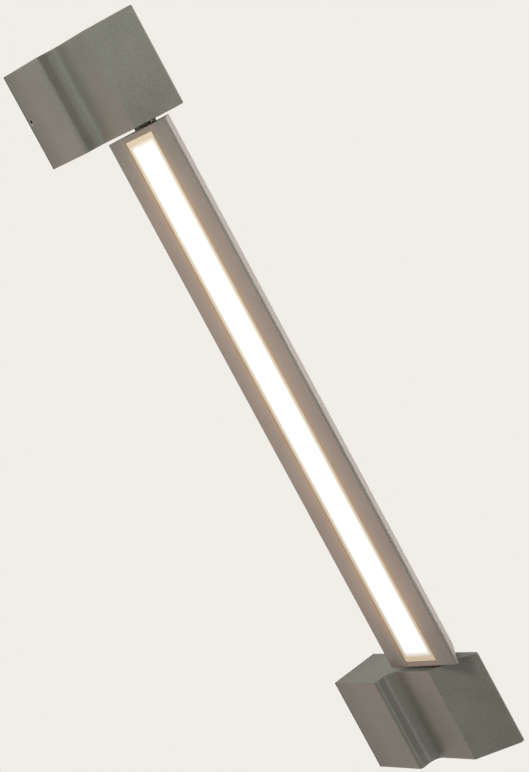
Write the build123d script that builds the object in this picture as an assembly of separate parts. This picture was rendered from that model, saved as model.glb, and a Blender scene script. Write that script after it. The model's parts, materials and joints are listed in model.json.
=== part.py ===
from build123d import *
import math
import os

# Outdoor wall light. Two bracket arms stand out from a wall and hold a light bar of triangular
# section between them. The bar turns about its long axis on a hollow pivot at each end.
# Frame in millimetres: +Z up along the bar, the wall is the plane Y = 0, the arms reach to -Y,
# and their flat side faces +X. The origin is the middle of the four wall screws.

# Bracket arms: lengths along the reach start at the rim beside the wall
bracket_height = 76.4
block_width = 42.2
block_length = 57.4
arm_width = 26.4
nose_start = 108.8
bracket_reach = 141.6
cove_radius = 8.4
block_edge_radius = 2.8
nose_edge_radius = 0.6
nose_corner_radius = 2.6
bracket_edge_round = 0.5
bracket_wall = 3.0
pivot_wall = 4.0
arm_clear = 447.2
rim_gasket_thickness = 1.0

# Light bar: depths run from its front face towards its apex
bar_gap = 2.5
bar_width = 83.2
bar_depth = 31.8
bar_side_flat = 1.8
bar_edge_radius = 1.5
bar_apex_radius = 1.0
bar_rest_turn = 2.5
housing_wall = 2.5
cap_thickness = 3.9
cap_edge_round = 0.4

# Pivot axis
pivot_reach = 100.6
pivot_off_centre = 0.3
pivot_front_inset = 10.4

# Diffuser, light chamber and board
slot_width = 38.4
lip_thickness = 1.2
diffuser_sink = 0.4
diffuser_lap = 2.0
diffuser_flange = 2.5
diffuser_play = 0.1
diffuser_end_play = 0.3
seal_thickness = 0.6
chamber_width = 34.0
chamber_depth = 10.7
land_wall = 3.0
groove_web = 2.2
board_width = 28.0
board_thickness = 1.6
board_end_room = 13.0
chip_size = 3.0
chip_height = 0.8
chip_pitch = 9.0
board_screw_count = 3
board_screw_reach = 3.2
connector_length = 8.0
connector_width = 8.0
connector_height = 5.0
corner_relief_radius = 0.4
corner_relief_offset = 1.5

# Pivot hardware, from the bar's end face outwards
stud_radius = 5.0
stud_bore_radius = 3.0
stud_end_room = 1.5
collar_radius = 8.4
collar_disc = 0.9
crown_wall = 1.2
crown_play = 0.3
crown_notches = 8
crown_notch_width = 2.0
crown_turn = 37.0
stud_flat_depth = 0.6
turning_clearance = 0.05
running_gap = 0.1
bush_wall = 1.0
washer_radius = 7.2
washer_pin_gap = 0.4
washer_play = 0.2
thrust_thickness = 1.0
spring_thickness = 0.8
spring_cone = 0.4
tab_washer_thickness = 1.2
tab_width = 1.8
tab_overlap = 0.8
nut_across_flats = 14.0
nut_thickness = 5.0
seal_section_radius = 0.55
stop_pin_radius = 1.0
stop_pin_sunk = 3.0
well_play = 1.0
well_height = 12.0

# End cap screws, self-tapping into ports that run through the housing
cap_screw_radius = 1.25
cap_screw_head_radius = 2.7
cap_screw_head = 1.6
cap_screw_length = 14.0
cap_screw_play = 0.3
port_play = 0.05
side_port_depth = 9.0
apex_port_depth = 25.0
port_wall = 2.0
socket_across_flats = 2.0
socket_depth = 1.2
cap_gasket_thickness = 0.5
cap_gasket_inset = 1.6

# Wall plates
plate_thickness = 2.0
plate_play = 0.2
plate_flange = 10.0
wall_screw_spread = 20.0
wall_screw_from_arm = 16.4
wall_screw_radius = 2.5
grub_radius = 2.0
grub_length = 5.0
grub_sunk = 0.3
grub_from_rim = 3.9
grub_play = 0.1

# Electrics on the lower wall plate
gland_side_gap = 0.9
gland_terminal_gap = 5.0
gland_bore_radius = 4.0
gland_wall = 2.0
gland_flange_wall = 2.0
gland_flange = 2.0
gland_nose = 5.0
terminal_width = 22.0
terminal_height = 16.0
terminal_depth = 14.0
terminal_side_gap = 0.4
terminal_floor_gap = 5.8
terminal_poles = 3
terminal_pitch = 5.5
terminal_screw_radius = 1.5
terminal_screw_proud = 0.6
terminal_screw_sunk = 3.0
earth_side_gap = 1.0
earth_above_gland = 4.0
earth_screw_radius = 2.0
earth_screw_head_radius = 4.0
earth_screw_head = 2.6
earth_screw_head_round = 0.8
driving_slot_width = 0.8
driving_slot_depth = 0.5
driver_length = 50.0
driver_height = 40.0
driver_side_gap = 1.7
driver_start = 24.0
driver_floor_gap = 3.0
driver_ear_length = 6.0
driver_ear_thickness = 3.0
driver_screw_radius = 1.5
driver_screw_head_radius = 2.8
driver_screw_head = 2.0
driver_edge_radius = 1.5
lead_radius = 1.9
lead_bend = 8.0
lead_end_gap = 2.0
lead_edge_inset = 3.3

# Places worked out from the sizes above
arm_face = arm_clear / 2
bar_end = arm_face - bar_gap
housing_end = bar_end - cap_thickness
bracket_top = arm_face + bracket_height
side_face = block_width / 2
rim = rim_gasket_thickness
pivot_side_inset = arm_width / 2 - pivot_off_centre
pivot_x = side_face - pivot_side_inset
pivot_y = -(rim + pivot_reach)
bar_half = bar_width / 2
groove_depth = diffuser_flange + seal_thickness
land_depth = lip_thickness + groove_depth + chamber_depth
board_front = land_depth - board_thickness
groove_half = slot_width / 2 + diffuser_lap + diffuser_play
pocket_half = groove_half + groove_web
side_port_half = (chamber_width / 2 + pocket_half) / 2
port_radius = cap_screw_radius + port_play
ports = [(side_port_half, side_port_depth), (-side_port_half, side_port_depth), (0, apex_port_depth)]
bush_start = collar_disc + running_gap
wall_inside = bar_gap + pivot_wall
thrust_start = wall_inside + running_gap
spring_start = thrust_start + thrust_thickness
tab_start = spring_start + spring_thickness + spring_cone
nut_start = tab_start + tab_washer_thickness
stud_end = nut_start + nut_thickness + stud_end_room
stop_pin_orbit = washer_radius + washer_pin_gap + stop_pin_radius
tab_radius = stop_pin_orbit + tab_overlap
well_radius = tab_radius + well_play
bush_bore_radius = stud_radius + turning_clearance
bush_radius = bush_bore_radius + bush_wall
bush_flange_radius = collar_radius - crown_wall - crown_play
cavity_low = arm_face + pivot_wall
cavity_high = bracket_top - bracket_wall
plate_half = side_face - bracket_wall - plate_play
plate_low = cavity_low + plate_play
plate_high = cavity_high - plate_play
tray_face = plate_half - plate_thickness
wall_screw_height = arm_face + wall_screw_from_arm
driver_low = plate_high - driver_floor_gap
driver_high = driver_low - driver_height
upper, lower = 1, -1
parts = {}


def plan(points):
    """Points given as distance from the rim and from the flat side, as X and Y."""
    return [(side_face - side, -(rim + reach)) for reach, side in points]


def polygon(points):
    return make_face(Polyline(*points, close=True))


def prism(sketch, start, stop):
    """A sketch in the XY plane, extruded between two heights given in either order."""
    return Pos(0, 0, min(start, stop)) * extrude(sketch, abs(stop - start))


def block(x_range, y_range, z_range):
    """A box between two values on each axis, each pair in either order."""
    spans = [sorted(pair) for pair in (x_range, y_range, z_range)]
    size = [high - low for low, high in spans]
    low_corner = [low for low, high in spans]
    return Pos(*low_corner) * Box(*size, align=(Align.MIN, Align.MIN, Align.MIN))


def tube(outer, inner, start, stop):
    """A ring about the Z axis between two heights."""
    return prism(Circle(outer) - Circle(inner), start, stop)


def rod(radius, start, stop):
    """A round bar about the Z axis between two heights."""
    return prism(Circle(radius), start, stop)


def hexagon(across_flats):
    return RegularPolygon(across_flats / 2, 6, major_radius=False)


def rounded(sketch, point, radius):
    """The sketch with the corner nearest to a point rounded."""
    corner = sketch.vertices().sort_by_distance((*point, 0))[0]
    return fillet(corner, radius)


def on_pivot(shape):
    """A shape modelled about the Z axis, moved to the pivot axis."""
    return Pos(pivot_x, pivot_y, 0) * shape


def on_bar(shape):
    """A shape modelled in the bar's own frame, moved to the pivot and turned as in the photo."""
    return Pos(pivot_x, pivot_y, 0) * Rot(0, 0, bar_rest_turn) * shape


def at_end(shape, end):
    """A shape modelled for the upper end, or its mirror image for the lower end."""
    return shape if end == upper else mirror(shape, about=Plane.XY)


def named(piece, end):
    return f"{'upper' if end == upper else 'lower'}_{piece}"


# Bracket arms
nose_angle = math.atan2(arm_width, bracket_reach - nose_start)


def nose_reach(side, inset):
    """Reach of the slanted nose at a distance from the flat side, set in by a wall."""
    return nose_start + (arm_width - side) / math.tan(nose_angle) - inset / math.sin(nose_angle)


def bracket_profile():
    corners = [
        (0, 0),
        (0, block_width),
        (block_length, block_width),
        (block_length, arm_width),
        (nose_start, arm_width),
        (bracket_reach, 0),
    ]
    profile = polygon(plan(corners))
    profile = rounded(profile, plan([(block_length, block_width)])[0], block_edge_radius)
    profile = rounded(profile, plan([(block_length, arm_width)])[0], cove_radius)
    return rounded(profile, plan([(bracket_reach, 0)])[0], nose_edge_radius)


def rounded_nose():
    """The arm's outline seen from its flat side, with both corners at the tip of the nose rounded."""
    tip = -(rim + bracket_reach - nose_edge_radius * (1 / math.sin(nose_angle / 2) - 1))
    corners = [(0, arm_face), (0, bracket_top), (tip, bracket_top), (tip, arm_face)]
    outline = polygon(corners)
    for corner in corners[2:]:
        outline = rounded(outline, corner, nose_corner_radius)
    return Plane.YZ * extrude(outline, side_face, both=True)


def bracket_cavity():
    inner_side = arm_width - bracket_wall
    corners = [
        (0, bracket_wall),
        (0, block_width - bracket_wall),
        (block_length - bracket_wall, block_width - bracket_wall),
        (block_length - bracket_wall, inner_side),
        (nose_reach(inner_side, bracket_wall), inner_side),
        (nose_reach(bracket_wall, bracket_wall), bracket_wall),
    ]
    return prism(polygon(plan(corners)), cavity_low, cavity_high)


def grub_place(end):
    """Where a grub screw enters: the stepped side on the upper arm, the flat side on the lower one."""
    height = (arm_face + bracket_top) / 2
    turn = -90 if end == upper else 90
    side = -side_face if end == upper else side_face
    return Pos(side, -(rim + grub_from_rim), end * height) * Rot(0, turn, 0)


def bracket(end):
    body = prism(bracket_profile(), arm_face, bracket_top)
    ends = body.faces().sort_by(Axis.Z)
    outline = ends[0].edges() + ends[-1].edges()
    outer_edges = [edge for edge in outline if edge.center().Y < -(rim + bracket_edge_round)]
    shown_edges = [edge for edge in outer_edges if edge.length > bracket_edge_round]
    body = fillet(shown_edges, bracket_edge_round) & rounded_nose()
    body -= bracket_cavity()
    body -= on_pivot(rod(bush_radius, arm_face, cavity_low))
    body -= on_pivot(rod(well_radius, cavity_low, cavity_low + well_height))
    body = at_end(body, end)
    return body - grub_place(end) * rod(grub_radius, -(bracket_wall + plate_play), 0)


def grub_screw(end):
    screw = rod(grub_radius, -grub_length, 0)
    socket = prism(hexagon(socket_across_flats), -socket_depth, 0)
    return grub_place(end) * Pos(0, 0, -grub_sunk) * (screw - socket)


def rim_gasket(end):
    mouth = plan([(0, bracket_wall), (0, block_width - bracket_wall)])
    inner_x = abs(mouth[0][0])
    ring = block((-side_face, side_face), (0, -rim), (arm_face, bracket_top))
    ring -= block((-inner_x, inner_x), (0, -rim), (cavity_low, cavity_high))
    return at_end(ring, end)


def on_plate(side, drop):
    """A frame on the wall at a place below the middle, with Z pointing to the room."""
    return Pos(side, 0, -drop) * Rot(90, 0, 0)


def wall_plate(end):
    heights = (plate_low, plate_high)
    plate = block((-plate_half, plate_half), (0, -plate_thickness), heights)
    for side in (-1, 1):
        flange = (side * plate_half, side * (plate_half - plate_thickness))
        plate += block(flange, (0, -plate_flange), heights)
    plate = at_end(plate, end)
    for side in (-1, 1):
        place = on_plate(side * wall_screw_spread / 2, -end * wall_screw_height)
        plate -= place * rod(wall_screw_radius, 0, plate_thickness)
    if end == lower:
        plate += driver_tray()
        plate -= on_plate(gland_side, gland_drop) * rod(gland_radius, 0, plate_thickness)
        plate -= on_plate(earth_side, earth_drop) * rod(earth_screw_radius, 0, plate_thickness)
        for screw_place in driver_screw_places():
            plate -= screw_place * rod(driver_screw_radius, -plate_thickness, 0)
    grub_reach = bracket_wall + plate_play + plate_thickness
    return plate - grub_place(end) * rod(grub_radius + grub_play, -grub_reach, 0)


# Electrics on the lower wall plate
terminal_side = terminal_side_gap + terminal_width / 2 - tray_face
terminal_drop = plate_high - terminal_floor_gap - terminal_height / 2
gland_radius = gland_bore_radius + gland_wall
gland_flange_radius = gland_radius + gland_flange_wall
gland_side = gland_side_gap + gland_flange_radius - tray_face
gland_drop = terminal_drop - terminal_height / 2 - gland_terminal_gap - gland_flange_radius
earth_side = tray_face - earth_side_gap - earth_screw_head_radius
earth_drop = gland_drop - earth_above_gland
driver_thickness = arm_width - 2 * bracket_wall - plate_play - plate_thickness - driver_side_gap
driver_near = -(rim + driver_start)
driver_far = driver_near - driver_length
driver_middle = -(driver_low + driver_high) / 2


def driver_tray():
    """The long tongue of the lower plate that carries the driver along the flat side."""
    tray_end = driver_far - driver_ear_length
    return block((tray_face, plate_half), (0, tray_end), (-driver_low, -driver_high))


def driver_screw_places():
    """Frames on the tray face at the middle of each driver ear, with Z pointing off the tray."""
    ear_half = driver_ear_length / 2
    along = (driver_near + ear_half, driver_far - ear_half)
    return [Pos(tray_face, y, driver_middle) * Rot(0, -90, 0) for y in along]


def led_driver():
    room = (tray_face, tray_face - driver_thickness)
    box = block(room, (driver_near, driver_far), (-driver_low, -driver_high))
    box = fillet(box.edges().filter_by(Axis.X), driver_edge_radius)
    ear_room = (tray_face, tray_face - driver_ear_thickness)
    ear_ends = (driver_near + driver_ear_length, driver_far - driver_ear_length)
    box += block(ear_room, ear_ends, (driver_middle - driver_ear_length, driver_middle + driver_ear_length))
    for place in driver_screw_places():
        box -= place * rod(driver_screw_radius, 0, driver_ear_thickness)
    return box


def driver_screw(place):
    head_top = driver_ear_thickness + driver_screw_head
    shank = rod(driver_screw_radius, -plate_thickness, driver_ear_thickness)
    head = rod(driver_screw_head_radius, driver_ear_thickness, head_top)
    return place * (shank + head)


def cable_gland():
    """A rubber gland in the plate, with a flange and a tapered nose on the room side."""
    flange_top = plate_thickness + gland_flange
    nose_top = flange_top + gland_nose
    section = [
        (gland_bore_radius, 0),
        (gland_radius, 0),
        (gland_radius, plate_thickness),
        (gland_flange_radius, plate_thickness),
        (gland_flange_radius, flange_top),
        (gland_radius, flange_top),
        (gland_bore_radius + gland_wall / 2, nose_top),
        (gland_bore_radius, nose_top),
    ]
    turned = revolve(Plane.XZ * polygon(section), Axis.Z)
    return on_plate(gland_side, gland_drop) * turned


def terminal_block():
    depths = (-plate_thickness, -(plate_thickness + terminal_depth))
    across = (terminal_side - terminal_width / 2, terminal_side + terminal_width / 2)
    heights = (-terminal_drop - terminal_height / 2, -terminal_drop + terminal_height / 2)
    body = block(across, depths, heights)
    for place in terminal_screw_places():
        body -= place * rod(terminal_screw_radius, -terminal_screw_sunk, 0)
    return body


def terminal_screw_places():
    """Frames on the terminal block's front, one for each pole, with Z pointing to the room."""
    front = -(plate_thickness + terminal_depth)
    first = terminal_side - terminal_width / 2 + terminal_pitch / 2 + terminal_screw_radius / 2
    return [
        Pos(first + pole * terminal_pitch, front, -terminal_drop) * Rot(90, 0, 0)
        for pole in range(terminal_poles)
    ]


def driving_slot(length, top):
    """A straight screwdriver slot across a head, cut down from its top."""
    return Pos(0, 0, top) * Box(length, driving_slot_width, 2 * driving_slot_depth)


def terminal_screw(place):
    body = rod(terminal_screw_radius, -terminal_screw_sunk, terminal_screw_proud)
    return place * (body - driving_slot(2 * terminal_screw_radius, terminal_screw_proud))


def earth_screw():
    head_top = plate_thickness + earth_screw_head
    shank = rod(earth_screw_radius, 0, plate_thickness)
    head = rod(earth_screw_head_radius, plate_thickness, head_top)
    head = fillet(head.edges().sort_by(Axis.Z)[-1], earth_screw_head_round)
    screw = shank + head - driving_slot(2 * earth_screw_head_radius, head_top)
    return on_plate(earth_side, earth_drop) * screw


def supply_lead():
    """Short lead from the terminal block, below its screws, to the near end of the driver."""
    front = -(plate_thickness + terminal_depth)
    side = tray_face - driver_thickness + lead_edge_inset
    return on_plate(side, terminal_drop + terminal_height / 4) * rod(lead_radius, -front, -driver_near)


def bracket_lead():
    """Lead from the far end of the driver, turning up under the lower pivot stud."""
    level = driver_middle + driver_height / 4
    meet = -(bar_end + stud_end + lead_end_gap)
    route = FilletPolyline(
        (pivot_x, driver_far, level),
        (pivot_x, pivot_y, level),
        (pivot_x, pivot_y, meet),
        radius=lead_bend,
    )
    start = Plane(origin=route @ 0, z_dir=route % 0)
    return sweep(start * Circle(lead_radius), path=route)


# Light bar in its own frame: the pivot is the Z axis, the front faces -X, the width runs along Y
side_slope = bar_half / (bar_depth - bar_side_flat)
side_stretch = math.sqrt(1 + side_slope**2)


def bar_point(half_width, depth):
    """A point of the bar's section, from its half width and its depth behind the front face."""
    return (depth - pivot_front_inset, half_width)


def side_half(depth, inset):
    """Half width inside the slanted sides at a depth, set in by a wall."""
    return side_slope * (bar_depth - depth) - inset * side_stretch


def side_depth(half_width, inset):
    """Depth of the slanted sides at a half width, set in by a wall."""
    return bar_depth - (half_width + inset * side_stretch) / side_slope


def section_box(half_width, near, far):
    """A rectangle of the bar's section between two depths, centred on its width."""
    return polygon([
        bar_point(-half_width, near),
        bar_point(half_width, near),
        bar_point(half_width, far),
        bar_point(-half_width, far),
    ])


def bar_outline():
    outline = polygon([
        bar_point(-bar_half, 0),
        bar_point(bar_half, 0),
        bar_point(bar_half, bar_side_flat),
        bar_point(0, bar_depth),
        bar_point(-bar_half, bar_side_flat),
    ])
    for side in (-1, 1):
        outline = rounded(outline, bar_point(side * bar_half, 0), bar_edge_radius)
    return rounded(outline, bar_point(0, bar_depth), bar_apex_radius)


def side_pocket(side):
    near = housing_wall
    return polygon([
        bar_point(side * pocket_half, near),
        bar_point(side * side_half(near, housing_wall), near),
        bar_point(side * pocket_half, side_depth(pocket_half, housing_wall)),
    ])


def apex_pocket():
    near = land_depth + land_wall
    far = apex_port_depth - port_radius - port_wall
    return polygon([
        bar_point(-side_half(near, housing_wall), near),
        bar_point(side_half(near, housing_wall), near),
        bar_point(side_half(far, housing_wall), far),
        bar_point(-side_half(far, housing_wall), far),
    ])


def bar_housing():
    section = bar_outline()
    section -= section_box(slot_width / 2, 0, lip_thickness)
    section -= section_box(groove_half, lip_thickness, lip_thickness + groove_depth)
    section -= section_box(chamber_width / 2, lip_thickness + groove_depth, land_depth)
    section -= side_pocket(1)
    section -= side_pocket(-1)
    section -= apex_pocket()
    for half_width, depth in ports:
        section -= Pos(*bar_point(half_width, depth)) * Circle(port_radius)
    body = prism(section, -housing_end, housing_end)
    for height in board_screw_heights():
        body -= board_place(height) * rod(cap_screw_radius, -board_screw_reach, 0)
    return on_bar(body)


def diffuser():
    """Opal strip with a raised face in the slot and a flange on each side, held behind the lips."""
    reach = housing_end - diffuser_end_play
    flange = section_box(groove_half - diffuser_play, lip_thickness, lip_thickness + diffuser_flange)
    face = section_box(slot_width / 2 - diffuser_play, diffuser_sink, lip_thickness)
    return on_bar(prism(flange + face, -reach, reach))


def diffuser_seals():
    near = lip_thickness + diffuser_flange
    far = near + seal_thickness
    reach = housing_end - diffuser_end_play
    strips = section_box(groove_half - diffuser_play, near, far) - section_box(chamber_width / 2, near, far)
    return on_bar(prism(strips, -reach, reach))


board_end = housing_end - board_end_room


def board_place(height):
    """A frame on the board's front at a height, with Z pointing out of the slot."""
    return Pos(bar_point(0, board_front)[0], 0, height) * Rot(0, -90, 0)


def board_screw_heights():
    """Screw heights between the chips: each end of the board, and evenly between."""
    reach = board_end - connector_length - chip_pitch / 2
    step = 2 * reach / (board_screw_count - 1)
    return [-reach + number * step for number in range(board_screw_count)]


def chip_heights():
    """Chips at an even pitch between the end screws, leaving out those beside a screw."""
    reach = board_end - connector_length - chip_pitch
    count = int(2 * reach / chip_pitch) + 1
    first = -(count - 1) * chip_pitch / 2
    heights = [first + number * chip_pitch for number in range(count)]
    clear = cap_screw_head_radius + chip_size
    screws = board_screw_heights()
    return [height for height in heights if all(abs(height - screw) > clear for screw in screws)]


def led_board():
    board = prism(section_box(board_width / 2, board_front, land_depth), -board_end, board_end)
    for height in board_screw_heights():
        board -= board_place(height) * rod(cap_screw_radius, -board_thickness, 0)
    return on_bar(board)


def led_chips():
    chip = prism(Rectangle(chip_size, chip_size), 0, chip_height)
    return [on_bar(board_place(height) * chip) for height in chip_heights()]


def board_screws():
    shank = rod(cap_screw_radius, -board_screw_reach, 0)
    head = rod(cap_screw_head_radius, 0, cap_screw_head)
    socket = prism(hexagon(socket_across_flats), cap_screw_head - socket_depth, cap_screw_head)
    screw = shank + head - socket
    return [on_bar(board_place(height) * screw) for height in board_screw_heights()]


def board_connector():
    """The block at the board's lower end that the lead plugs into."""
    body = section_box(connector_width / 2, board_front - connector_height, board_front)
    return on_bar(prism(body, -board_end, -board_end + connector_length))


def bar_lead():
    """The straight lead through the lower stud, from under it to the board's connector."""
    start = -(bar_end + stud_end + lead_end_gap) + running_gap
    return on_bar(rod(lead_radius, start, -board_end))


def cap_gasket_section():
    section = offset(bar_outline(), -cap_gasket_inset, kind=Kind.INTERSECTION)
    section -= section_box(chamber_width / 2, lip_thickness + groove_depth, land_depth)
    section -= Circle(stud_radius + cap_screw_play)
    for half_width, depth in ports:
        section -= Pos(*bar_point(half_width, depth)) * Circle(cap_screw_radius + cap_screw_play)
    return section


def cap_gasket(end):
    return on_bar(at_end(prism(cap_gasket_section(), housing_end, housing_end + cap_gasket_thickness), end))


def cap_screw_profile(play):
    """Half section of a countersunk screw or of its hole, with its head at height 0."""
    head_low = -cap_screw_head
    return polygon([
        (0, 0),
        (cap_screw_head_radius + play, 0),
        (cap_screw_radius + play, head_low),
        (cap_screw_radius + play, -cap_screw_length),
        (0, -cap_screw_length),
    ])


def end_cap(end):
    body = prism(bar_outline(), housing_end, bar_end)
    outer_face = body.faces().sort_by(Axis.Z)[-1]
    body = fillet(outer_face.edges(), cap_edge_round)
    body -= prism(cap_gasket_section(), housing_end, housing_end + cap_gasket_thickness)
    body -= rod(stud_radius, housing_end, bar_end)
    hole = revolve(Plane.XZ * cap_screw_profile(cap_screw_play), Axis.Z)
    for half_width, depth in ports:
        body -= Pos(*bar_point(half_width, depth), bar_end) * hole
    for side in (-1, 1):
        relief_half = side * (slot_width / 2 - corner_relief_radius)
        relief = Pos(*bar_point(relief_half, 0), housing_end + corner_relief_offset) * Rot(0, 90, 0)
        body -= relief * rod(corner_relief_radius, 0, lip_thickness)
    return on_bar(at_end(body, end))


def cap_screws(end):
    screw = revolve(Plane.XZ * cap_screw_profile(0), Axis.Z)
    screw -= prism(hexagon(socket_across_flats), -socket_depth, 0)
    places = [Pos(*bar_point(half_width, depth), bar_end) for half_width, depth in ports]
    return [on_bar(at_end(place * screw, end)) for place in places]


# Pivot hardware: heights are measured from the bar's end face outwards
def ring_at(outer, inner, start, stop):
    return tube(outer, inner, bar_end + start, bar_end + stop)


def rod_at(radius, start, stop):
    return rod(radius, bar_end + start, bar_end + stop)


seal_middle = bar_gap + pivot_wall / 2
seal_orbit = stud_radius - seal_section_radius


def stud_flat(clearance):
    """The flat that keys the tabbed washer, as a block cut from the stud on its front side."""
    key_face = stud_radius - stud_flat_depth + clearance
    spread = 2 * stud_radius
    return block((-spread, -key_face), (-spread, spread), (bar_end + tab_start, bar_end + stud_end))


def pivot_stud(end):
    """Hollow stud with a collar on the bar's end. Its notched crown stands round the flange of the bush."""
    stud = ring_at(stud_radius, stud_bore_radius, -cap_thickness, stud_end)
    collar = ring_at(collar_radius, stud_bore_radius, 0, collar_disc)
    crown_top = bar_gap - running_gap
    crown = ring_at(collar_radius, collar_radius - crown_wall, collar_disc, crown_top)
    notch = block(
        (bush_flange_radius, collar_radius),
        (-crown_notch_width / 2, crown_notch_width / 2),
        (bar_end + collar_disc, bar_end + crown_top),
    )
    for number in range(crown_notches):
        crown -= Rot(0, 0, crown_turn + number * 360 / crown_notches) * notch
    groove_floor = seal_orbit - seal_section_radius
    groove_half_height = seal_section_radius + turning_clearance
    groove_ends = (seal_middle - groove_half_height, seal_middle + groove_half_height)
    groove = ring_at(2 * stud_radius, groove_floor, *groove_ends)
    stud = stud + collar + crown - groove - stud_flat(0)
    return on_bar(at_end(stud, end))


def pivot_seal(end):
    ring = Pos(0, 0, bar_end + seal_middle) * Torus(seal_orbit, seal_section_radius)
    return on_bar(at_end(ring, end))


def pivot_bush(end):
    flange = ring_at(bush_flange_radius, bush_bore_radius, bush_start, bar_gap)
    sleeve = ring_at(bush_radius, bush_bore_radius, bar_gap, wall_inside)
    return on_pivot(at_end(flange + sleeve, end))


def thrust_washer(end):
    ring = ring_at(washer_radius, stud_radius + washer_play, thrust_start, spring_start)
    return on_bar(at_end(ring, end))


def disc_spring(end):
    """A coned washer that presses the joint together, so that the bar stays where it is turned."""
    inner = stud_radius + washer_play
    section = polygon([
        (washer_radius, spring_start),
        (washer_radius, spring_start + spring_thickness),
        (inner, tab_start),
        (inner, tab_start - spring_thickness),
    ])
    ring = Pos(0, 0, bar_end) * revolve(Plane.XZ * section, Axis.Z)
    return on_bar(at_end(ring, end))


def keyed_washer(end):
    """Washer keyed to the stud's flat. The upper one has the tab that meets the stop pin."""
    ring = rod_at(washer_radius, tab_start, nut_start)
    if end == upper:
        heights = (bar_end + tab_start, bar_end + nut_start)
        ring += block((-tab_radius, -stud_radius), (-tab_width / 2, tab_width / 2), heights)
    hole = rod_at(stud_radius + turning_clearance, tab_start, nut_start) - stud_flat(turning_clearance)
    return on_bar(at_end(ring - hole, end))


def lock_nut(end):
    body = Pos(0, 0, bar_end + nut_start) * extrude(hexagon(nut_across_flats), nut_thickness)
    body -= rod_at(stud_radius, nut_start, nut_start + nut_thickness)
    return on_bar(at_end(body, end))


def stop_pin():
    """Pin in the upper arm, on the wall side of the pivot, that ends the bar's turn each way."""
    pin = rod_at(stop_pin_radius, wall_inside - stop_pin_sunk, nut_start - running_gap)
    return on_pivot(Pos(0, stop_pin_orbit, 0) * pin)


def make_parts():
    for end in (upper, lower):
        parts[named("bracket", end)] = bracket(end)
        parts[named("grub_screw", end)] = grub_screw(end)
        parts[named("rim_gasket", end)] = rim_gasket(end)
        parts[named("wall_plate", end)] = wall_plate(end)
        parts[named("pivot_bush", end)] = pivot_bush(end)
        parts[named("end_cap", end)] = end_cap(end)
        parts[named("cap_gasket", end)] = cap_gasket(end)
        parts[named("cap_screws", end)] = cap_screws(end)
        parts[named("pivot_stud", end)] = pivot_stud(end)
        parts[named("pivot_seal", end)] = pivot_seal(end)
        parts[named("thrust_washer", end)] = thrust_washer(end)
        parts[named("disc_spring", end)] = disc_spring(end)
        parts[named("keyed_washer", end)] = keyed_washer(end)
        parts[named("lock_nut", end)] = lock_nut(end)
    parts["upper_bracket"] -= stop_pin()
    parts["stop_pin"] = stop_pin()
    parts["cable_gland"] = cable_gland()
    parts["terminal_block"] = terminal_block()
    parts["terminal_screws"] = [terminal_screw(place) for place in terminal_screw_places()]
    parts["earth_screw"] = earth_screw()
    parts["led_driver"] = led_driver()
    parts["driver_screws"] = [driver_screw(place) for place in driver_screw_places()]
    parts["supply_lead"] = supply_lead()
    parts["bracket_lead"] = bracket_lead()
    parts["bar_housing"] = bar_housing()
    parts["diffuser"] = diffuser()
    parts["diffuser_seals"] = diffuser_seals()
    parts["led_board"] = led_board()
    parts["led_chips"] = led_chips()
    parts["board_screws"] = board_screws()
    parts["board_connector"] = board_connector()
    parts["bar_lead"] = bar_lead()


def write_parts():
    os.makedirs("parts", exist_ok=True)
    for name, shape in parts.items():
        solids = shape if isinstance(shape, list) else shape.solids()
        whole = solids[0] if len(solids) == 1 else Compound(children=solids)
        export_step(whole, f"parts/{name}.step")


make_parts()
write_parts()
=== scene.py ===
import json
import math

import bpy
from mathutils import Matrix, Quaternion, Vector


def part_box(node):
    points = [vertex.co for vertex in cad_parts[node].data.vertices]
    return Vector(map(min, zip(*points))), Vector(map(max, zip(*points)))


# Looks of an outdoor wall light: painted bracket arms on a wall, and a turning bar with a lit opal strip.
# Metres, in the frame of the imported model: +Z up along the bar, the wall at Y = 0, the arms towards -Y.

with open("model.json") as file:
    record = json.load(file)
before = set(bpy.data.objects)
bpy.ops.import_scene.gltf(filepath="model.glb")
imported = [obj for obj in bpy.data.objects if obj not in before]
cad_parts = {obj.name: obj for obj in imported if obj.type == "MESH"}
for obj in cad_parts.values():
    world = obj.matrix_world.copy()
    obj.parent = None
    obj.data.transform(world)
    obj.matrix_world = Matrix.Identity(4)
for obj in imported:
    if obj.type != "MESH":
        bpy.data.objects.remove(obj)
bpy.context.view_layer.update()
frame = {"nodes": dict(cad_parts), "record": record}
nodes = frame["nodes"]
scene = bpy.context.scene
scene.view_settings.view_transform = "Standard"

MM = 0.001

# The bar's own frame: its pivot and how far it is turned at rest
PIVOT = frame["record"]["behaviour"]["joints"][0]["pos_m"]
BAR_TURN = math.radians(2.5)

# In that frame: the slot of the lit strip, which runs the whole length of the housing, and the bar's front
SLOT_HALF_WIDTH = 19.2 * MM
SLOT_HALF_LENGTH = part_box("bar_housing")[1][2]
BAR_FRONT = -10.4 * MM

# How the light fades on the strip itself, from the slot's long edges and from its ends
SIDE_FADE = 6.5 * MM
END_FADE = 9.7 * MM
CORNER_BLEND = 0.5

# How the strip's light, painted as a warm glow in the bar's paint, fades: away from the slot, and towards the
# bar's ends.
# Close beside the slot it reaches a little further along the bar.
GLOW_REACH = 22 * MM
GLOW_STARTS = -18 * MM
GLOW_IS_FULL = 62 * MM
BESIDE_SLOT = 14 * MM
BESIDE_SHARE = 0.5
FRONT_IS_LIT = BAR_FRONT + 0.15 * MM
FRONT_ENDS = BAR_FRONT + 0.6 * MM

# How the warm light fades on the arms, slower along the arm than away from the bar, and on which faces:
# the X of a face's normal, which is -1 on the arms' front
ARM_GLOW_REACH = 50 * MM
ARM_GLOW_ALONG = 0.35
ARM_FACE_LIT = -0.97
ARM_FACE_UNLIT = -0.88

# The shade on the arms near the wall: how far it reaches and how strong it gets
SHADE_REACH = 35 * MM
SHADE_SHARE = 0.75
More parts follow.
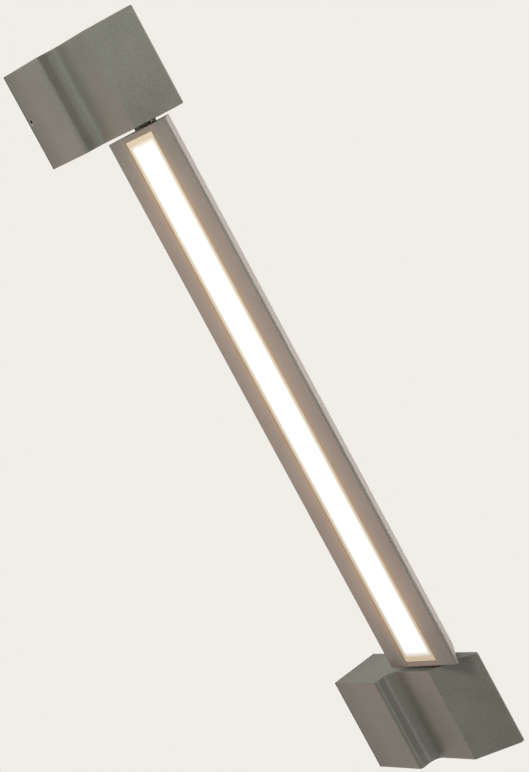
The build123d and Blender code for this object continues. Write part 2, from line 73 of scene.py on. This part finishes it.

# The painted highlight on the rim of a grub screw's hole: how far it lies to one side, its width, and where
# it has faded out
RIM_ASIDE = 0.15 * MM
RIM_WIDTH = 0.2 * MM
RIM_ENDS = 0.5 * MM

# Sockets of a mix node that mixes colours: its two colours and its result
MIX_FIRST = 6
MIX_SECOND = 7
MIX_RESULT = 2


def linear(hex_colour):
    """An sRGB hex colour as linear red, green, blue and alpha."""
    channels = [int(hex_colour[i:i + 2], 16) / 255 for i in (1, 3, 5)]
    return [c / 12.92 if c <= 0.04045 else ((c + 0.055) / 1.055) ** 2.4 for c in channels] + [1.0]


def add(owner, kind, settings=None, values=None, links=None):
    """Adds a node to a material or the world, with its properties, its input values and its links."""
    node = owner.node_tree.nodes.new(kind)
    for name, value in (settings or {}).items():
        setattr(node, name, value)
    for name, value in (values or {}).items():
        node.inputs[name].default_value = value
    for name, output in (links or {}).items():
        owner.node_tree.links.new(output, node.inputs[name])
    return node


def start_material(name):
    """An empty node material with its shader and output in place."""
    material = bpy.data.materials.new(name)
    material.use_nodes = True
    material.node_tree.nodes.clear()
    shader = add(material, "ShaderNodeBsdfPrincipled")
    add(material, "ShaderNodeOutputMaterial", links={"Surface": shader.outputs["BSDF"]})
    return material, shader


def link(material, output, target):
    """Links an output to an input of a node that is already there."""
    material.node_tree.links.new(output, target)


def ramp_stops(ramp, stops):
    """Sets the stops of a colour ramp, each a position and a linear colour."""
    elements = ramp.color_ramp.elements
    while len(elements) < len(stops):
        elements.new(1.0)
    for element, (position, colour) in zip(elements, stops):
        element.position = position
        element.color = colour


def in_bar_frame(material):
    """Distances from the bar's pivot axis, turned with the bar: X into its depth, Y across it, Z along it."""
    place = add(material, "ShaderNodeTexCoord").outputs["Object"]
    turned = add(material, "ShaderNodeMapping", {"vector_type": "TEXTURE"},
                 {"Location": PIVOT, "Rotation": (0, 0, BAR_TURN)}, {"Vector": place})
    return add(material, "ShaderNodeSeparateXYZ", links={"Vector": turned.outputs["Vector"]})


def inside_slot(material, axes):
    """How far a point lies inside the diffuser's slot, from its long edges and from its ends."""
    depths = []
    for axis, half in (("Y", SLOT_HALF_WIDTH), ("Z", SLOT_HALF_LENGTH)):
        size = add(material, "ShaderNodeMath", {"operation": "ABSOLUTE"}, links={0: axes.outputs[axis]})
        depth = add(material, "ShaderNodeMath", {"operation": "SUBTRACT"}, {0: half}, {1: size.outputs[0]})
        depths.append(depth.outputs[0])
    return depths


def powder_coat(name, dark_hex, light_hex):
    """Fine-texture polyester powder coat on die-cast or extruded aluminium.

    The eye sees a dry, even grey with tiny raised grains, and slow cloudy shifts of tone about 45 mm across.
    Real grains are about 0.15 mm: they are drawn at 0.75 mm so that they still show in the render.
    """
    grain_size = 0.75 * MM
    grain_height = 0.1 * MM
    cloud_size = 45 * MM
    cloud_share = 0.3
    material, shader = start_material(name)
    place = add(material, "ShaderNodeTexCoord").outputs["Object"]
    grain = add(material, "ShaderNodeTexNoise",
                values={"Scale": 1 / grain_size, "Detail": 2.0, "Roughness": 0.6}, links={"Vector": place})
    cloud = add(material, "ShaderNodeTexNoise",
                values={"Scale": 1 / cloud_size, "Detail": 2.0}, links={"Vector": place})
    mixed = add(material, "ShaderNodeMix", {"data_type": "FLOAT"}, {"Factor": cloud_share},
                {"A": grain.outputs["Fac"], "B": cloud.outputs["Fac"]})
    tone = add(material, "ShaderNodeValToRGB", links={"Fac": mixed.outputs["Result"]})
    ramp_stops(tone, [(0.3, linear(dark_hex)), (0.7, linear(light_hex))])
    link(material, tone.outputs["Color"], shader.inputs["Base Color"])
    bump = add(material, "ShaderNodeBump", values={"Strength": 0.5, "Distance": grain_height},
               links={"Height": grain.outputs["Fac"]})
    link(material, bump.outputs["Normal"], shader.inputs["Normal"])
    shader.inputs["Roughness"].default_value = 0.42
    return material, shader


def wall_shade(material, shader):
    """Shade drawn into the arms' paint: they look a little darker towards the wall."""
    place = add(material, "ShaderNodeTexCoord").outputs["Object"]
    axes = add(material, "ShaderNodeSeparateXYZ", links={"Vector": place})
    shade = add(material, "ShaderNodeMapRange", {"interpolation_type": "SMOOTHSTEP"},
                {"From Min": -SHADE_REACH, "From Max": 0.0, "To Min": 0.0, "To Max": SHADE_SHARE},
                {"Value": axes.outputs["Y"]})
    paint = shader.inputs["Base Color"].links[0].from_socket
    tone = add(material, "ShaderNodeMix", {"data_type": "RGBA"}, {MIX_SECOND: linear("#67645D")},
               {"Factor": shade.outputs["Result"], MIX_FIRST: paint})
    link(material, tone.outputs[MIX_RESULT], shader.inputs["Base Color"])


def painted_rim_highlights(material, shader):
    """A painted highlight: a pale ring drawn in the arms' paint at the rims of the grub screws' holes.

    The upper screw enters from -X and the lower one from +X, at the same height from the bar's middle.
    """
    low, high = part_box("upper_grub_screw")
    radius = (high[1] - low[1]) / 2
    aside = Vector((0, RIM_ASIDE, -RIM_ASIDE))
    middle = Vector((0, (low[1] + high[1]) / 2, (low[2] + high[2]) / 2)) + aside
    place = add(material, "ShaderNodeTexCoord").outputs["Object"]
    axes = add(material, "ShaderNodeSeparateXYZ", links={"Vector": place})
    height = add(material, "ShaderNodeMath", {"operation": "ABSOLUTE"}, links={0: axes.outputs["Z"]})
    flat = add(material, "ShaderNodeCombineXYZ", links={"Y": axes.outputs["Y"], "Z": height.outputs[0]})
    away = add(material, "ShaderNodeVectorMath", {"operation": "DISTANCE"}, {1: middle},
               {0: flat.outputs["Vector"]})
    rim = add(material, "ShaderNodeMapRange", {"interpolation_type": "SMOOTHSTEP"},
              {"From Min": radius + RIM_WIDTH, "From Max": radius + RIM_ENDS, "To Min": 1.0, "To Max": 0.0},
              {"Value": away.outputs["Value"]})
    side = add(material, "ShaderNodeMath", {"operation": "MULTIPLY"},
               links={0: axes.outputs["X"], 1: axes.outputs["Z"]})
    entry = add(material, "ShaderNodeMath", {"operation": "LESS_THAN"}, {1: 0.0}, {0: side.outputs[0]})
    highlight_share = add(material, "ShaderNodeMath", {"operation": "MULTIPLY"},
                 links={0: rim.outputs["Result"], 1: entry.outputs[0]})
    paint = shader.inputs["Base Color"].links[0].from_socket
    tone = add(material, "ShaderNodeMix", {"data_type": "RGBA"}, {MIX_SECOND: linear("#D8D3C9")},
               {"Factor": highlight_share.outputs[0], MIX_FIRST: paint})
    link(material, tone.outputs[MIX_RESULT], shader.inputs["Base Color"])


def arm_glow(material, shader):
    """A faint warm light drawn on the arms' front, beside the ends of the lit strip.

    It belongs to the arms, so it stays where it is when the bar turns.
    """
    place = add(material, "ShaderNodeTexCoord")
    axes = add(material, "ShaderNodeSeparateXYZ", links={"Vector": place.outputs["Object"]})
    facing = add(material, "ShaderNodeSeparateXYZ", links={"Vector": place.outputs["Normal"]})
    along = add(material, "ShaderNodeMath", {"operation": "MULTIPLY_ADD"},
                {1: ARM_GLOW_ALONG, 2: -ARM_GLOW_ALONG * PIVOT[1]}, {0: axes.outputs["Y"]})
    height = add(material, "ShaderNodeMath", {"operation": "ABSOLUTE"}, links={0: axes.outputs["Z"]})
    past_end = add(material, "ShaderNodeMath", {"operation": "SUBTRACT"}, {1: SLOT_HALF_LENGTH},
                   {0: height.outputs[0]})
    flat = add(material, "ShaderNodeCombineXYZ", links={"X": along.outputs[0], "Y": past_end.outputs[0]})
    away = add(material, "ShaderNodeVectorMath", {"operation": "LENGTH"}, links={0: flat.outputs["Vector"]})
    near = add(material, "ShaderNodeMapRange", {"interpolation_type": "SMOOTHSTEP"},
               {"From Min": 0.0, "From Max": ARM_GLOW_REACH, "To Min": 1.0, "To Max": 0.0},
               {"Value": away.outputs["Value"]})
    on_front = add(material, "ShaderNodeMapRange", {"interpolation_type": "SMOOTHSTEP"},
                   {"From Min": ARM_FACE_LIT, "From Max": ARM_FACE_UNLIT, "To Min": 1.0, "To Max": 0.0},
                   {"Value": facing.outputs["X"]})
    strength = add(material, "ShaderNodeMath", {"operation": "MULTIPLY"},
                   links={0: near.outputs["Result"], 1: on_front.outputs["Result"]})
    shader.inputs["Emission Color"].default_value = linear("#2E1B1A")
    link(material, strength.outputs[0], shader.inputs["Emission Strength"])


def slot_glow(material, shader):
    """Painted light: a warm glow drawn in the paint of the bar's front for the light the lit strip spills
    there, strongest beside the slot.
    """
    axes = in_bar_frame(material)
    depths = inside_slot(material, axes)
    outside = []
    for depth in depths:
        past = add(material, "ShaderNodeMath", {"operation": "MULTIPLY"}, {1: -1.0}, {0: depth})
        clear = add(material, "ShaderNodeMath", {"operation": "MAXIMUM"}, {1: 0.0}, {0: past.outputs[0]})
        outside.append(clear.outputs[0])
    corner = add(material, "ShaderNodeCombineXYZ", links={"X": outside[0], "Y": outside[1]})
    away = add(material, "ShaderNodeVectorMath", {"operation": "LENGTH"}, links={0: corner.outputs["Vector"]})
    spread = add(material, "ShaderNodeMath", {"operation": "DIVIDE"}, {1: GLOW_REACH},
                 {0: away.outputs["Value"]})
    glow = add(material, "ShaderNodeValToRGB", links={"Fac": spread.outputs[0]})
    ramp_stops(glow, [
        (0.0, linear("#805D37")),
        (0.08, linear("#7C5D3F")),
        (0.17, linear("#725845")),
        (0.35, linear("#644E43")),
        (0.63, linear("#58453C")),
        (1.0, linear("#463A35")),
    ])
    link(material, glow.outputs["Color"], shader.inputs["Emission Color"])
    on_front = add(material, "ShaderNodeMapRange", {"interpolation_type": "SMOOTHSTEP"},
                   {"From Min": FRONT_IS_LIT, "From Max": FRONT_ENDS, "To Min": 1.0, "To Max": 0.0},
                   {"Value": axes.outputs["X"]})
    beside = add(material, "ShaderNodeMapRange",
                 values={"From Min": 0.0, "From Max": BESIDE_SHARE, "To Min": BESIDE_SLOT, "To Max": 0.0},
                 links={"Value": spread.outputs[0]})
    lit_length = add(material, "ShaderNodeMath", {"operation": "ADD"},
                     links={0: depths[1], 1: beside.outputs["Result"]})
    ends = add(material, "ShaderNodeMapRange", {"interpolation_type": "SMOOTHSTEP"},
               {"From Min": GLOW_STARTS, "From Max": GLOW_IS_FULL}, {"Value": lit_length.outputs[0]})
    strength = add(material, "ShaderNodeMath", {"operation": "MULTIPLY"},
                   links={0: on_front.outputs["Result"], 1: ends.outputs["Result"]})
    link(material, strength.outputs[0], shader.inputs["Emission Strength"])


def lit_opal(name):
    """Opal acrylic strip, extruded, with a satin face and diodes lit behind it.

    The eye sees a burnt-out white middle, and a warm dim border where the strip goes under the lips.
    The border is wider at the ends, where the last diode stands back from the end of the slot.
    """
    material, shader = start_material(name)
    depths = inside_slot(material, in_bar_frame(material))
    shares = []
    for depth, fade in zip(depths, (SIDE_FADE, END_FADE)):
        share = add(material, "ShaderNodeMath", {"operation": "DIVIDE"}, {1: fade}, {0: depth})
        shares.append(share.outputs[0])
    edge = add(material, "ShaderNodeMath", {"operation": "SMOOTH_MIN"}, {2: CORNER_BLEND},
               {0: shares[0], 1: shares[1]})
    glow = add(material, "ShaderNodeValToRGB", links={"Fac": edge.outputs[0]})
    ramp_stops(glow, [
        (0.0, linear("#60533A")),
        (0.38, linear("#60533C")),
        (0.49, linear("#787A73")),
        (0.65, linear("#9AA5AB")),
        (0.8, linear("#B1BFC7")),
        (1.0, linear("#E8E8E8")),
    ])
    link(material, glow.outputs["Color"], shader.inputs["Emission Color"])
    shader.inputs["Emission Strength"].default_value = 1.0
    shader.inputs["Base Color"].default_value = linear("#EEDCCA")
    shader.inputs["Roughness"].default_value = 0.35
    shader.inputs["IOR"].default_value = 1.49
    return material


def turned_metal(name, dark_hex, light_hex, metallic, roughness, mark_size):
    """Turned or pressed metal, bare or plated: fine tool marks and a slight mottle in its shine.

    Real tool marks are about 0.1 mm apart: they are drawn at 0.8 to 1.5 mm so that they show.
    On the zinc plate the marks are 6 mm across and stand for the cloudy mottle of the plating.
    """
    mark_depth = 0.02 * MM
    shine_change = 0.08
    material, shader = start_material(name)
    place = add(material, "ShaderNodeTexCoord").outputs["Object"]
    marks = add(material, "ShaderNodeTexNoise",
                values={"Scale": 1 / mark_size, "Detail": 4.0, "Distortion": 0.4}, links={"Vector": place})
    tone = add(material, "ShaderNodeValToRGB", links={"Fac": marks.outputs["Fac"]})
    ramp_stops(tone, [(0.3, linear(dark_hex)), (0.7, linear(light_hex))])
    link(material, tone.outputs["Color"], shader.inputs["Base Color"])
    shine = add(material, "ShaderNodeMapRange",
                values={"To Min": roughness - shine_change, "To Max": roughness + shine_change},
                links={"Value": marks.outputs["Fac"]})
    link(material, shine.outputs["Result"], shader.inputs["Roughness"])
    bump = add(material, "ShaderNodeBump", values={"Strength": 0.15, "Distance": mark_depth},
               links={"Height": marks.outputs["Fac"]})
    link(material, bump.outputs["Normal"], shader.inputs["Normal"])
    shader.inputs["Metallic"].default_value = metallic
    return material


def moulded(name, dark_hex, light_hex, roughness, grain_size, grain_height):
    """Moulded, extruded, printed or cast plastic, rubber or gel: one colour, a faint mottle and a fine grain.

    Real grain is about 0.1 mm: it is drawn at 0.4 to 2.5 mm so that it shows.
    """
    material, shader = start_material(name)
    place = add(material, "ShaderNodeTexCoord").outputs["Object"]
    grain = add(material, "ShaderNodeTexNoise", values={"Scale": 1 / grain_size, "Detail": 2.0},
                links={"Vector": place})
    tone = add(material, "ShaderNodeValToRGB", links={"Fac": grain.outputs["Fac"]})
    ramp_stops(tone, [(0.25, linear(dark_hex)), (0.75, linear(light_hex))])
    link(material, tone.outputs["Color"], shader.inputs["Base Color"])
    bump = add(material, "ShaderNodeBump", values={"Strength": 0.3, "Distance": grain_height},
               links={"Height": grain.outputs["Fac"]})
    link(material, bump.outputs["Normal"], shader.inputs["Normal"])
    shader.inputs["Roughness"].default_value = roughness
    return material


# Warm grey paint, a touch redder on the bar than on the arms
arm_paint, arm_shader = powder_coat("arm_powder_coat_on_cast_aluminium", "#65625C", "#908C85")
bar_paint, bar_shader = powder_coat("bar_powder_coat_on_extruded_aluminium", "#67615C", "#938B85")
wall_shade(arm_paint, arm_shader)
# Painted highlights at the rims of the grub screws' holes
painted_rim_highlights(arm_paint, arm_shader)
arm_glow(arm_paint, arm_shader)
# Painted glow of the strip's light on the bar's front
slot_glow(bar_paint, bar_shader)
opal_acrylic = lit_opal("lit_opal_acrylic_extruded")

# Dark brown satin metal, seen in the gap at each end of the bar
dark_anodised = turned_metal("bronze_anodised_aluminium_turned", "#47433A", "#5C574B", 0.5, 0.4, 0.8 * MM)
# Pale, slightly blue grey with soft patches
zinc_plate = turned_metal("zinc_plated_steel_pressed", "#A9ABAE", "#C2C4C6", 1.0, 0.38, 6 * MM)
# A clear, slightly warm grey shine
stainless = turned_metal("stainless_steel_turned", "#A8A5A0", "#BEBBB6", 1.0, 0.3, 1.5 * MM)
# Nearly black and dull
black_oxide = turned_metal("black_oxide_steel_turned", "#191817", "#262422", 0.6, 0.5, 0.8 * MM)
# A yellow shine
brass = turned_metal("brass_turned", "#B08D4C", "#C9A561", 1.0, 0.3, 1.0 * MM)
# Black: the rubber dull, the cable's sheath with a slight satin
black_rubber = moulded("black_rubber_moulded", "#151515", "#222222", 0.8, 0.8 * MM, 0.05 * MM)
cable_sheath = moulded("black_cable_sheath_extruded", "#161617", "#232324", 0.6, 1.2 * MM, 0.03 * MM)
# Waxy off-white, satin white and satin grey plastics
bearing_plastic = moulded("natural_acetal_moulded", "#C6BFB1", "#D4CDC0", 0.45, 0.6 * MM, 0.02 * MM)
white_plastic = moulded("white_polycarbonate_moulded", "#DEDDD8", "#EAE9E4", 0.5, 0.7 * MM, 0.02 * MM)
grey_plastic = moulded("grey_polyamide_moulded", "#A0A2A3", "#B0B2B3", 0.55, 0.7 * MM, 0.02 * MM)
# A smooth white lacquer on the board, and a yellow gel on its diodes
board_mask = moulded("white_solder_mask_printed", "#E4E4DF", "#F0F0EC", 0.4, 2.5 * MM, 0.01 * MM)
phosphor = moulded("yellow_phosphor_gel_cast", "#E2B23C", "#F0C653", 0.35, 0.4 * MM, 0.02 * MM)

finishes = {
    arm_paint: ["upper_bracket", "lower_bracket"],
    bar_paint: ["bar_housing", "upper_end_cap", "lower_end_cap"],
    opal_acrylic: ["diffuser"],
    dark_anodised: ["upper_pivot_stud", "lower_pivot_stud"],
    zinc_plate: [
        "upper_wall_plate", "lower_wall_plate", "stop_pin", "driver_screws", "earth_screw", "board_screws",
    ],
    stainless: [
        "upper_cap_screws", "lower_cap_screws", "upper_thrust_washer", "lower_thrust_washer",
        "upper_disc_spring", "lower_disc_spring", "upper_keyed_washer", "lower_keyed_washer",
        "upper_lock_nut", "lower_lock_nut",
    ],
    black_oxide: ["upper_grub_screw", "lower_grub_screw"],
    brass: ["terminal_screws"],
    black_rubber: [
        "upper_rim_gasket", "lower_rim_gasket", "upper_cap_gasket", "lower_cap_gasket",
        "diffuser_seals", "upper_pivot_seal", "lower_pivot_seal", "cable_gland",
    ],
    cable_sheath: ["supply_lead", "bracket_lead", "bar_lead"],
    bearing_plastic: ["upper_pivot_bush", "lower_pivot_bush"],
    white_plastic: ["board_connector", "led_driver"],
    grey_plastic: ["terminal_block"],
    board_mask: ["led_board"],
    phosphor: ["led_chips"],
}
for material, names in finishes.items():
    for name in names:
        nodes[name].data.materials.clear()
        nodes[name].data.materials.append(material)

# The floor, well under the light and out of the main view
FLOOR_LEVEL = -0.95
FLOOR_MIDDLE = (0.0, -0.1)
FLOOR_SIZE = 1.2

# Strengths of the world: the even light on the part, and the backdrop, which is white at 1
EVEN_LIGHT = 0.03
BACKDROP = 1.0

# The soft boxes' width and height, and the place that all of them face
TALL_BOX = (0.35, 1.0)
SQUARE_BOX = (0.35, 0.35)
LIGHT_TARGET = (0.0, -0.08, 0.0)

# The camera, found by fitting the lines of the arms and the bar, with its lens and sensor in mm
CAMERA_PLACE = (-0.7676, -1.4738, 0.2573)
CAMERA_AIM = (-0.0066, -0.1, 0.0183)
CAMERA_ROLL = math.radians(-28.38)
LENS_LENGTH = 103.18
SENSOR_WIDTH = 36.0


def pale_floor():
    """A plain pale floor."""
    bpy.ops.mesh.primitive_plane_add(size=FLOOR_SIZE, location=(*FLOOR_MIDDLE, FLOOR_LEVEL))
    floor = bpy.context.object
    floor.name = "floor"
    material, shader = start_material("pale_floor")
    shader.inputs["Base Color"].default_value = linear("#E8E4DD")
    shader.inputs["Roughness"].default_value = 0.8
    floor.data.materials.append(material)


def studio_world():
    """Even studio light, with the pale backdrop shown to the camera and in reflections."""
    world = bpy.data.worlds.new("studio")
    scene.world = world
    world.use_nodes = True
    world.node_tree.nodes.clear()
    light = add(world, "ShaderNodeBackground", values={"Color": linear("#F4F1EC"), "Strength": EVEN_LIGHT})
    backdrop = add(world, "ShaderNodeBackground", values={"Color": linear("#F1EDE7"), "Strength": BACKDROP})
    path = add(world, "ShaderNodeLightPath")
    seen = path.outputs["Is Camera Ray"]
    for kind in ("Is Glossy Ray", "Is Transmission Ray"):
        either = add(world, "ShaderNodeMath", {"operation": "MAXIMUM"},
                     links={0: seen, 1: path.outputs[kind]})
        seen = either.outputs[0]
    both = add(world, "ShaderNodeMixShader",
               links={0: seen, 1: light.outputs["Background"], 2: backdrop.outputs["Background"]})
    add(world, "ShaderNodeOutputWorld", links={"Surface": both.outputs["Shader"]})


def soft_light(name, place, size, power, colour):
    """A soft box that faces the part, with its power in watts."""
    lamp = bpy.data.lights.new(name, "AREA")
    lamp.shape = "RECTANGLE"
    lamp.size, lamp.size_y = size
    lamp.energy = power
    lamp.color = linear(colour)[:3]
    holder = bpy.data.objects.new(name, lamp)
    scene.collection.objects.link(holder)
    holder.location = place
    holder.rotation_euler = (Vector(LIGHT_TARGET) - Vector(place)).to_track_quat("-Z", "Y").to_euler()


def photo_camera():
    """The photograph's camera: it stands in front and to the left, rolled so that the bar leans."""
    camera_data = bpy.data.cameras.new("camera")
    camera_data.sensor_width = SENSOR_WIDTH
    camera_data.lens = LENS_LENGTH
    camera = bpy.data.objects.new("camera", camera_data)
    scene.collection.objects.link(camera)
    camera.location = CAMERA_PLACE
    aim = (Vector(CAMERA_AIM) - Vector(CAMERA_PLACE)).to_track_quat("-Z", "Y")
    camera.rotation_euler = (aim @ Quaternion((0, 0, 1), CAMERA_ROLL)).to_euler()
    scene.camera = camera


pale_floor()
studio_world()
soft_light("left_light", (-0.88, 0.97, -0.29), TALL_BOX, 2.2, "#FFE0D6")
soft_light("high_left_light", (-0.99, 0.49, 0.80), SQUARE_BOX, 2.2, "#FFE0D2")
soft_light("side_light", (-1.30, -0.26, 0.45), SQUARE_BOX, 2.2, "#EFFFF4")
soft_light("high_side_light", (-0.90, -0.59, 1.00), SQUARE_BOX, 9.2, "#F4FFF2")
soft_light("high_front_light", (-0.30, -1.19, 0.80), SQUARE_BOX, 1.2, "#FCFFF2")
soft_light("low_front_light", (0.04, -1.35, -0.59), SQUARE_BOX, 3.7, "#FDFFFB")
soft_light("right_light", (0.80, -1.23, 0.0), SQUARE_BOX, 12.0, "#FFF4EF")
soft_light("high_back_light", (0.5, 1.3, 1.1), TALL_BOX, 1.1, "#FFF0E2")
soft_light("back_light", (1.0, 1.0, -0.15), TALL_BOX, 1.3, "#FFF3EA")
photo_camera()
